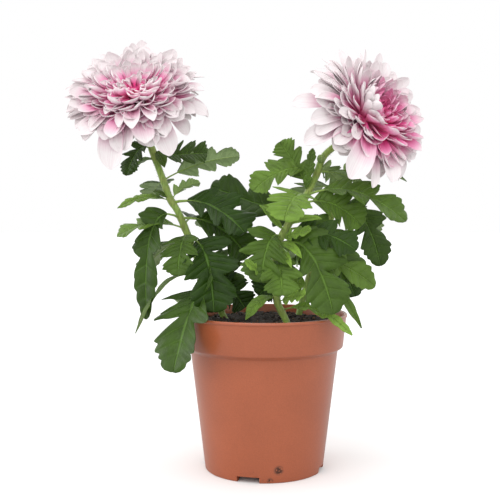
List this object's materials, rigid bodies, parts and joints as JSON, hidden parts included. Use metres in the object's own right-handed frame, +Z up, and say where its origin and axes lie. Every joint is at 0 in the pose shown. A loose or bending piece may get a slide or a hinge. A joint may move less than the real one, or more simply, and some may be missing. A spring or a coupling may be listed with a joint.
{
  "type": "pot chrysanthemum",
  "caption": "Flowering pot plant with tall leafy stems and large layered blooms, standing in a soil-filled tapered pot with a stepped rim.",
  "frame": {"origin": "middle of the pot's foot, on the surface it stands on", "axes": "+Z up; the blooms stand left (-X) and right (+X), and face the front (-Y)"},
  "size_m": [0.253, 0.1336, 0.3057],
  "materials": {
    "terracotta_plastic": "satin",
    "potting_soil": "matte",
    "foliage": "satin",
    "petals": "matte"
  },
  "bodies": {
    "root": {"pot": "terracotta_plastic", "soil": "potting_soil", "stem_left": "foliage", "stem_right": "foliage", "stem_back": "foliage", "bloom_left": "petals", "bloom_right": "petals"}
  },
  "joints": []
}
